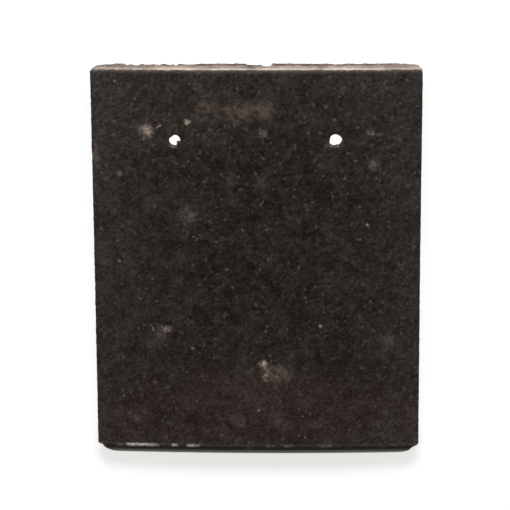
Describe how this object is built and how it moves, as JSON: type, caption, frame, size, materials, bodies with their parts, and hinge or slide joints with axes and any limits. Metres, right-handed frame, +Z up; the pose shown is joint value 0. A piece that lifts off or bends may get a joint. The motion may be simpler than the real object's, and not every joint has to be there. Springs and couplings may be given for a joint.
{
  "type": "concrete roof tile",
  "caption": "Short flat roofing tile, gently cambered, with nail holes near its head, long nibs under the head, a rounded nose and dubbed tail corners.",
  "frame": {"origin": "on the floor, under the middle of the tile's box, with the tile lying face up on its nibs and its tail", "axes": "+X across the tile's width, +Y up the slope to the head, +Z up out of the face"},
  "size_m": [0.165, 0.2006, 0.0221],
  "materials": {
    "concrete": "dark brown-black sand-faced concrete, granular and matt, with paler raw concrete at the cut head"
  },
  "bodies": {
    "root": {"roof_tile": "concrete"}
  },
  "joints": []
}
